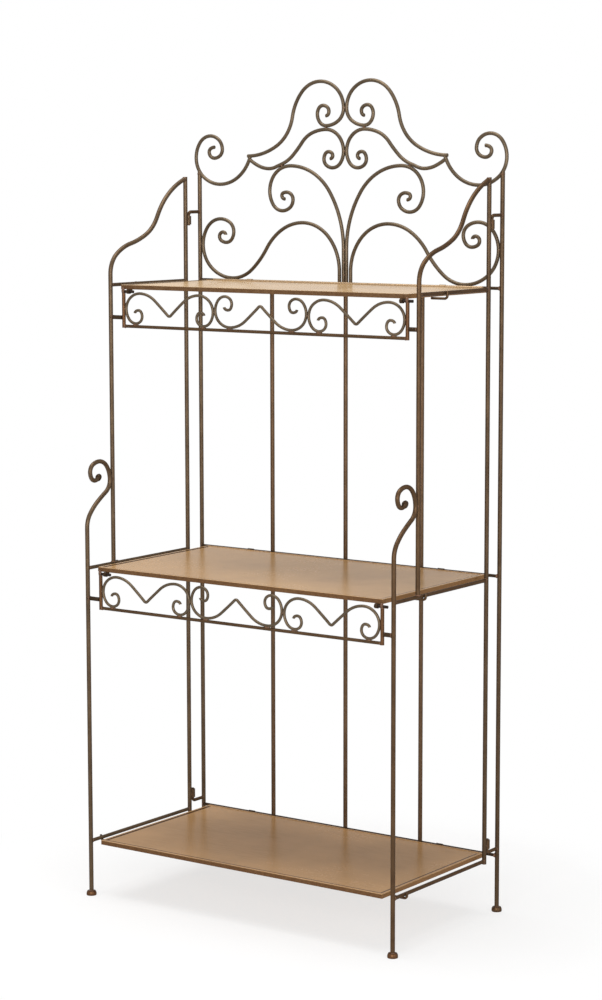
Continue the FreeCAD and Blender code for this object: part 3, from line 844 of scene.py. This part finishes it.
def nodes_of(body: str) -> List[str]:
    """Names of the CAD nodes on a body."""
    return frame["record"]["behaviour"]["bodies"][body]


def mid_height(node: str) -> float:
    """Height of the middle of a CAD node."""
    low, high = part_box(node)
    return (low.z + high.z) / 2


def pick_tone(node: str, tones: Dict[str, Tone], plain: Tone = Tone.POST) -> Tone:
    """Finds a node's shade by the end of its name.

    Args:
        node: The node's name.
        tones: Shades by the end of a name. The first that fits is taken.
        plain: The shade where none fits.

    Returns:
        The shade.
    """
    return next((tone for ending, tone in tones.items() if node.endswith(ending)), plain)


def dress(node: str, material: bpy.types.Material) -> None:
    """Gives a CAD node a finish.

    Args:
        node: The node's name.
        material: Its finish.
    """
    piece = frame["nodes"][node]
    if not piece.material_slots:
        piece.data.materials.append(material)
    for place in piece.material_slots:
        place.material = material
    log.info("%s: %s", node, material.name)


@dataclass
class BackFrame:
    """Uprights, crossbars, inner bars, hinge hooks and the scrolled crest."""

    half_width: float = 375 * MM
    back: float = 191.5 * MM
    bar_lead: float = 5.0 * MM
    bar_cope: float = 3.0 * MM
    post_rod: float = 9.0 * MM
    bar_rod: float = 6.5 * MM
    crest_rod: float = 7.5 * MM
    hinge_rod: float = 7.0 * MM
    inner_bar: float = 187.5 * MM
    foot_top: float = 9.0 * MM
    junction: Span = (240.8 * MM, 1519.5 * MM)
    shoulder_foot: float = 1486.0 * MM
    crown_on_inner: Span = (47.2 * MM, 1580.3 * MM)
    inner_on_tall: Span = (158.6 * MM, 1502.7 * MM)
    crown_touch: float = 1619.6 * MM
    inner_touch: float = 1532.1 * MM
    stem_tacks: Tuple[float, ...] = (1280 * MM, 1306 * MM, 1331 * MM)
    low_side: float = 1337.3 * MM
    seats: Tuple[float, ...] = (3.75 * MM, 13.95 * MM, 289.1 * MM)
    seat_rise: float = 3.0 * MM
    seat_setback: float = 2.2 * MM
    seat_bead: float = 5.0 * MM

    def crest_welds(self, bar: float) -> List[Weld]:
        """Beads of the crest.

        Args:
            bar: Height of the top crossbar.

        Returns:
            The beads of both halves.
        """
        y = self.back
        touches = (self.crown_touch, self.inner_touch, *self.stem_tacks)
        beads = [tack((0, y, z), Axis.Y, self.crest_rod) for z in touches]
        for side in Side:
            sign = side.value
            face = sign * (self.half_width - self.post_rod / 2)
            for across, up in (self.junction, self.crown_on_inner, self.inner_on_tall):
                beads.append(tack((sign * across, y, up), Axis.Y, self.crest_rod))
            beads.append(tack((face, y, self.low_side), Axis.Y, self.crest_rod))
            beads.append(collar((sign * self.half_width, y, self.shoulder_foot), Axis.Z, self.post_rod))
            for x in self.seats:
                spot = (sign * x, y - self.seat_setback, bar + self.seat_rise)
                beads.append(tack(spot, Axis.X, self.seat_bead))
        return beads

    def bar_welds(self, bars: Sequence[float]) -> List[Weld]:
        """Beads of the crossbars, inner bars, hinge hooks and feet.

        Args:
            bars: Heights of the crossbars.

        Returns:
            The beads.
        """
        beads = []
        hooks = [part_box("upper_hinge_hooks")[1].z - self.hinge_rod / 2]
        hooks.append(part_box("lower_hinge_hooks")[0].z + self.hinge_rod / 2)
        for side in Side:
            post = side.value * self.half_width
            face = side.value * (self.half_width - self.bar_cope)
            beads += [collar((face, self.back - self.bar_lead, z), Axis.X, self.bar_rod) for z in bars]
            beads += [collar((post, self.back - self.post_rod / 2, z), Axis.Y, self.hinge_rod) for z in hooks]
            beads.append(collar((post, self.back, self.foot_top), Axis.Z, self.post_rod))
        behind = self.back - self.bar_lead + self.bar_rod / 2
        for z in bars:
            for x in (-self.inner_bar, 0.0, self.inner_bar):
                beads.append(tack((x, behind, z), Axis.X, self.post_rod))
        return beads

    def build(self, paints: Paints) -> None:
        """Paints the frame and adds its weld beads.

        Args:
            paints: The shared finishes.
        """
        tones = {
            # The crest's scrolls take the lighter, greyer copy with painted highlight.
            "scroll": Tone.CREST,
            # Painted light on the left upright, painted shade on the right one.
            "left_back_upright": Tone.LEFT_POST,
            "right_back_upright": Tone.RIGHT_POST,
            # Painted light: the inner bars take a lighter copy against the trays' shade.
            "inner_back_bars": Tone.INNER,
            # Painted shade and sheen on the top crossbar.
            "top_crossbar": Tone.TOP_BAR,
            # Painted shade: the crossbars take the darker copy.
            "crossbar": Tone.BAR,
        }
        for node in nodes_of("back_frame"):
            dress(node, paints.rods[pick_tone(node, tones)])
        bars = [mid_height(f"{level.value}_crossbar") for level in Level]
        paints.beads.run("back_frame_welds", "back_frame", self.crest_welds(bars[-1]) + self.bar_welds(bars))


@dataclass
class SideFrame:
    """Legs, posts, rails, hinge eyes, shelf hooks and stubs of one end."""

    side: Side
    half_width: float = 375 * MM
    post_rod: float = 9.0 * MM
    rail_rod: float = 7.5 * MM
    stub_rod: float = 8.5 * MM
    leg: float = -191.5 * MM
    upper: float = -108.5 * MM
    post: float = 141.5 * MM
    foot_top: float = 9.0 * MM
    leg_touch: float = 862.0 * MM
    sweep_end: float = 1475.2 * MM
    tip: Span = (-154.0 * MM, 870.0 * MM)
    tip_heading: Point = (0.0, 0.57, 0.82)
    tip_girth: float = 6.2 * MM
    tip_reach: float = 8.0 * MM
    eye_offset: float = 6.5 * MM

    def welds(self) -> List[Weld]:
        """Beads of the whole side frame.

        Returns:
            The beads.
        """
        x, name, radius = self.side.value * self.half_width, self.side.label, self.post_rod / 2
        beads = []
        for level in Level:
            z = mid_height(f"{name}_{level.value}_rail")
            front = self.upper if level is Level.TOP else self.leg
            beads.append(collar((x, front + radius, z), Axis.Y, self.rail_rod))
            beads.append(collar((x, self.post - radius, z), Axis.Y, self.rail_rod))
            if level is Level.MIDDLE:
                beads.append(collar((x, self.upper, z + self.rail_rod / 2), Axis.Z, self.post_rod))
        beads.append(tack((x, self.upper - radius, self.leg_touch), Axis.X, self.post_rod))
        beads.append(collar((x, self.post - radius, self.sweep_end), Axis.Y, self.post_rod))
        beads.append(collar((x, self.leg, self.foot_top), Axis.Z, self.post_rod))
        low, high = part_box(f"{name}_hinge_eyes")
        for z in (low.z + self.eye_offset, high.z - self.eye_offset):
            beads.append(tack((x, self.post + radius, z), Axis.X, self.post_rod))
        low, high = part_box(f"{name}_valance_stubs")
        face = self.side.value * (self.half_width - radius)
        beads.append(collar((face, self.leg, low.z + self.stub_rod / 2), Axis.X, self.stub_rod))
        beads.append(collar((face, self.upper, high.z - self.stub_rod / 2), Axis.X, self.stub_rod))
        return beads

    def build(self, paints: Paints) -> None:
        """Paints the side frame and adds its weld beads and the leg's hammered tip.

        Args:
            paints: The shared finishes.
        """
        body = f"{self.side.label}_side"
        # The left end's rods take the copy with painted light; the right rear post takes the copy with
        # painted shade.
        plain = Tone.LEFT_POST if self.side is Side.LEFT else Tone.POST
        # The valance stubs take the darker bar paint, which paints in shade.
        tones = {"valance_stubs": Tone.BAR, "foot": Tone.RED, "right_rear_post": Tone.RIGHT_POST}
        for node in nodes_of(body):
            dress(node, paints.rods[pick_tone(node, tones, plain)])
        paints.beads.run(f"{body}_welds", body, self.welds())
        spot = (self.side.value * self.half_width, *self.tip)
        tip = Weld(spot, self.tip_heading, self.tip_girth, self.tip_reach)
        # The leg's tip takes the darker bar paint, which paints in shade.
        paints.beads.run(f"{body}_leg_tip", body, [tip], paints.rods[Tone.BAR])


@dataclass
class Shelf:
    """A sheet tray with its straps and valance lugs."""

    level: Level
    paint: ShelfPaint

    def build(self, paints: Paints) -> None:
        """Paints the tray and its small pieces.

        Args:
            paints: The shared finishes.
        """
        body = f"{self.level.value}_shelf"
        # The top tray's straps take the bar paint with painted shade and sheen.
        tones = {"top_shelf_straps": Tone.TOP_BAR}
        for node in nodes_of(body):
            if node == f"{body}_tray":
                dress(node, self.paint.make(f"{body}_paint", *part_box(node)))
            else:
                # The other small pieces take the darker bar paint, which paints in shade.
                dress(node, paints.rods[pick_tone(node, tones, Tone.BAR)])


@dataclass
class Valance:
    """A hanging frame with three scroll wires between two uprights."""

    level: Level
    front: float
    rod: float = 7.5 * MM
    rail_rod: float = 6.5 * MM
    wire_rod: float = 5.8 * MM
    pin_rod: float = 6.0 * MM
    cap: float = 3.6 * MM
    head_lead: float = 1.9 * MM
    head_rise: float = 2.0 * MM
    head_girth: float = 3.2 * MM
    head_reach: float = 5.5 * MM
    shift: float = 4.5 * MM
    half_width: float = 345 * MM
    foot_offsets: Tuple[float, ...] = (314.0 * MM, 141.0 * MM, 75.4 * MM)
    foot_girth: float = 0.48
    foot_reach: float = 1.2
    scroll_meets: float = 113.7 * MM
    touch_rise: float = 35.0 * MM

    def welds(self) -> List[Weld]:
        """Beads between the uprights, rail, pins and wires.

        Returns:
            The beads.
        """
        rail = mid_height(f"{self.level.value}_valance_rail")
        pin = mid_height(f"{self.level.value}_valance_pins")
        beads = []
        for side in Side:
            x = self.shift + side.value * self.half_width
            face = x - side.value * self.rod / 2
            beads.append(collar((face, self.front, rail), Axis.X, self.rail_rod))
            beads.append(tack((face, self.front, rail + self.touch_rise), Axis.Y, self.wire_rod))
            beads.append(collar((x, self.front, pin - self.pin_rod / 2), Axis.Z, self.rod))
            beads.append(Weld((x, self.front, pin), Axis.X.value, self.cap, self.cap))
            head = (x, self.front - self.head_lead, pin + self.head_rise)
            beads.append(Weld(head, Axis.Z.value, self.head_girth, self.head_reach))
            meet = self.shift + side.value * self.scroll_meets
            beads.append(tack((meet, self.front, rail + self.touch_rise), Axis.Y, self.wire_rod))
        girth, reach = self.foot_girth * self.wire_rod, self.foot_reach * self.wire_rod
        for x in sorted(side.value * offset for side in Side for offset in self.foot_offsets):
            foot = (self.shift + x, self.front, rail + self.rail_rod / 2)
            beads.append(Weld(foot, Axis.X.value, girth, reach))
        return beads

    def build(self, paints: Paints) -> None:
        """Paints the valance and adds its weld beads.

        Args:
            paints: The shared finishes.
        """
        body = f"{self.level.value}_valance"
        # The scroll wires take the crest's lighter, greyer copy with painted highlight.
        tones = {"_uprights": Tone.RED, "_scroll": Tone.CREST}
        for node in nodes_of(body):
            rod = paints.rods[pick_tone(node, tones)]
            dress(node, paints.hardware if node.endswith("_pins") else rod)
        paints.beads.run(f"{body}_welds", body, self.welds())


@dataclass(frozen=True)
class Lamp:
    """One soft box."""

    name: str
    spot: Point
    watts: float
    width: float


@dataclass
class Studio:
    """White floor, soft boxes, white surroundings and the camera."""

    eye: Point = (3.0216, -4.2023, 1.5008)
    aim: Point = (0.0022, 0.0317, 0.8316)
    roll: float = math.radians(-0.086)
    image_height: int = 1000
    focal_pixels: float = 2589.7
    sensor: float = 36.0
    floor_half: float = 30.0
    floor_paint: Colour = srgb(250, 250, 250)
    floor_roughness: float = 0.9
    shadow_reach: Span = (0.35, 0.85)
    shadow_lift: float = 0.68
    ambient: float = 0.30
    lamps: Tuple[Lamp, ...] = (
        Lamp("key_box", (2.0, -4.6, 1.7), 145.0, 2.6),
        Lamp("fill_box", (3.6, -1.1, 1.2), 36.0, 2.2),
        Lamp("top_box", (-0.4, -0.2, 4.4), 150.0, 3.0),
    )

    def floor(self) -> None:
        """Pale floor that keeps the shadows near the rack and is white further off."""
        half = self.floor_half
        corners = [(-half, -half, 0.0), (half, -half, 0.0), (half, half, 0.0), (-half, half, 0.0)]
        mesh = bpy.data.meshes.new("floor")
        mesh.from_pydata(corners, [], [(0, 1, 2, 3)])
        piece = bpy.data.objects.new("floor", mesh)
        bpy.context.scene.collection.objects.link(piece)
        bench = PaintBench("floor_paint")
        bench.feed(Base_Color=self.floor_paint, Roughness=self.floor_roughness, Specular_IOR_Level=0.0)
        away = bench.node("ShaderNodeVectorMath", {"operation": "LENGTH"}, {0: bench.place()}, "Value")
        bench.whiten(away.rise(*self.shadow_reach).most(self.shadow_lift))
        mesh.materials.append(bench.material)

    def world(self) -> None:
        """Soft light all round, and white where the camera or a gloss looks past the rack."""
        world = bpy.data.worlds.new("studio")
        bpy.context.scene.world = world
        world.use_nodes = True
        bench = NodeBench(world.node_tree)
        light = bench.node("ShaderNodeBackground", {}, {"Color": WHITE, "Strength": self.ambient})
        white = bench.node("ShaderNodeBackground", {}, {"Color": WHITE, "Strength": 1.0})
        mixed = bench.node("ShaderNodeMixShader", {}, {0: bench.seen(), 1: light, 2: white})
        bench.add("ShaderNodeOutputWorld", {}, {"Surface": mixed})

    def look(self, spot: Point) -> Quaternion:
        """Turn of a lamp or camera at a spot that looks at the rack."""
        return (Vector(self.aim) - Vector(spot)).to_track_quat("-Z", "Y")

    def lights(self) -> None:
        """Soft boxes aimed at the rack."""
        for lamp in self.lamps:
            data = bpy.data.lights.new(lamp.name, "AREA")
            data.energy = lamp.watts
            data.size = lamp.width
            piece = bpy.data.objects.new(lamp.name, data)
            piece.location = lamp.spot
            piece.rotation_euler = self.look(lamp.spot).to_euler()
            bpy.context.scene.collection.objects.link(piece)

    def camera(self) -> None:
        """Camera at the photograph's viewing angle."""
        data = bpy.data.cameras.new("camera")
        data.sensor_fit = "VERTICAL"
        data.sensor_height = self.sensor
        data.lens = self.focal_pixels / self.image_height * self.sensor
        piece = bpy.data.objects.new("camera", data)
        piece.location = self.eye
        piece.rotation_euler = (self.look(self.eye) @ Euler((0, 0, self.roll)).to_quaternion()).to_euler()
        bpy.context.scene.collection.objects.link(piece)
        bpy.context.scene.camera = piece

    def build(self) -> None:
        """Sets up the whole studio."""
        bpy.context.scene.view_settings.view_transform = "Standard"
        self.floor()
        self.world()
        self.lights()
        self.camera()


def main() -> None:
    """Builds the studio and dresses every sub-assembly."""
    logging.basicConfig(level=logging.INFO, format="%(message)s")
    Studio().build()
    beads = BeadTree(WeldPaint().make("weld_paint"))
    rods = {tone: paint.make(tone.value) for tone, paint in ROD_PAINTS.items()}
    paints = Paints(rods, DarkHardware().make("dark_hardware"), beads)
    back = BackFrame()
    ends = [SideFrame(side) for side in Side]
    shelves = [Shelf(level, paint) for level, paint in LEVEL_LIT_SHELF_PAINTS.items()]
    valances = [Valance(Level.MIDDLE, ends[0].leg), Valance(Level.TOP, ends[0].upper)]
    for part in (back, *ends, *shelves, *valances):
        part.build(paints)


if __name__ == "__main__":
    main()
